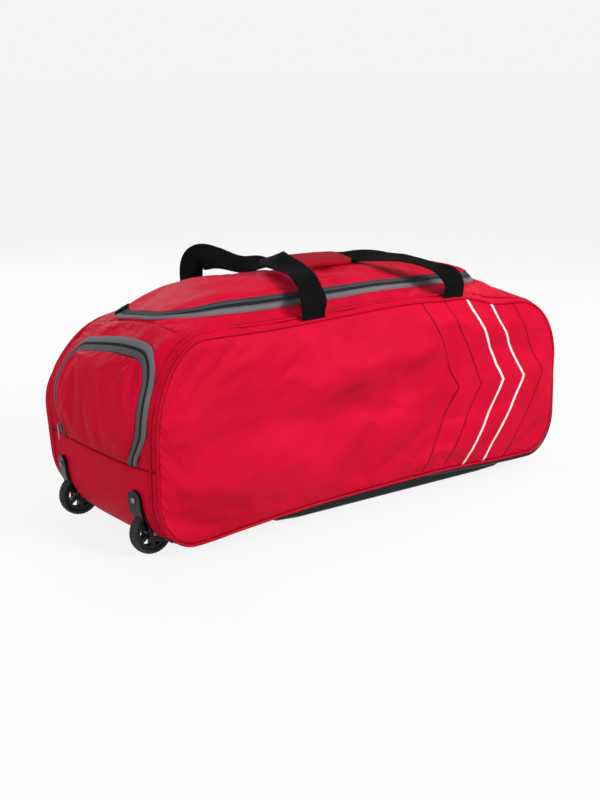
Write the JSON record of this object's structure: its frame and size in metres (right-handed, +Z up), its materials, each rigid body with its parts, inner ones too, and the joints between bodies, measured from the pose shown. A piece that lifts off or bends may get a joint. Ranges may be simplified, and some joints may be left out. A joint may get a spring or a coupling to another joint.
{
  "type": "wheeled sports kit bag",
  "caption": "Long padded red kit bag with a zipped lid, an end pocket, joined carrying handles, inset wheels, skid rails and a corner guard.",
  "frame": {"origin": "on the floor below the middle of the whole bag", "axes": "+X along the bag away from its wheels, +Y from the front panel to the back panel, +Z up"},
  "size_m": [0.9226, 0.369, 0.432],
  "materials": {
    "red_cloth": "coated woven polyester, satin",
    "dark_red_cloth": "woven polyester, matt",
    "grey_tape": "woven zip tape, matt",
    "zip_coil": "moulded coil, satin",
    "dark_cloth": "coarse coated cloth, matt",
    "webbing": "woven webbing, matt",
    "metal": "plated steel, semi-gloss",
    "black_plastic": "moulded plastic, lightly textured",
    "rubber": "dark grey rubber, matt"
  },
  "bodies": {
    "bag": {"back_handle_strap": "webbing", "back_housing_rivet": "metal", "back_piping": "dark_red_cloth", "back_side_panel": "red_cloth", "back_skid_rail": "black_plastic", "back_wheel_axle": "metal", "back_wheel_housing": "black_plastic", "base_panel": "dark_cloth", "end_pull_handle": "webbing", "far_end_guard": "black_plastic", "far_end_panel": "red_cloth", "front_handle_strap": "webbing", "front_housing_rivet": "metal", "front_piping": "dark_red_cloth", "front_side_panel": "red_cloth", "front_skid_rail": "black_plastic", "front_wheel_axle": "metal", "front_wheel_housing": "black_plastic", "handle_grip_wrap": "dark_red_cloth", "lid_hinge_strip": "red_cloth", "lid_panel": "red_cloth", "lid_zip_coil": "zip_coil", "lid_zip_lower_tape": "grey_tape", "lid_zip_puller": "metal", "lid_zip_slider": "metal", "lid_zip_tab_left": "webbing", "lid_zip_tab_right": "webbing", "lid_zip_upper_tape": "grey_tape", "pocket_flap": "red_cloth", "pocket_puller": "metal", "pocket_slider": "metal", "pocket_zip_coil": "zip_coil", "pocket_zip_inner_tape": "grey_tape", "pocket_zip_outer_tape": "grey_tape", "top_shoulder": "red_cloth", "wheel_end_lower_panel": "dark_red_cloth", "wheel_end_panel": "red_cloth"},
    "front_wheel": {"front_wheel_tyre": "rubber", "front_wheel_hub": "black_plastic"},
    "back_wheel": {"back_wheel_tyre": "rubber", "back_wheel_hub": "black_plastic"}
  },
  "joints": [
    {"name": "front_wheel_spin", "type": "hinge", "parent": "bag", "child": "front_wheel", "pos_m": [-0.41813, -0.11967, 0.036], "axis": [0, 1, 0], "continuous": true},
    {"name": "back_wheel_spin", "type": "hinge", "parent": "bag", "child": "back_wheel", "pos_m": [-0.41813, 0.11033, 0.036], "axis": [0, 1, 0], "continuous": true}
  ]
}
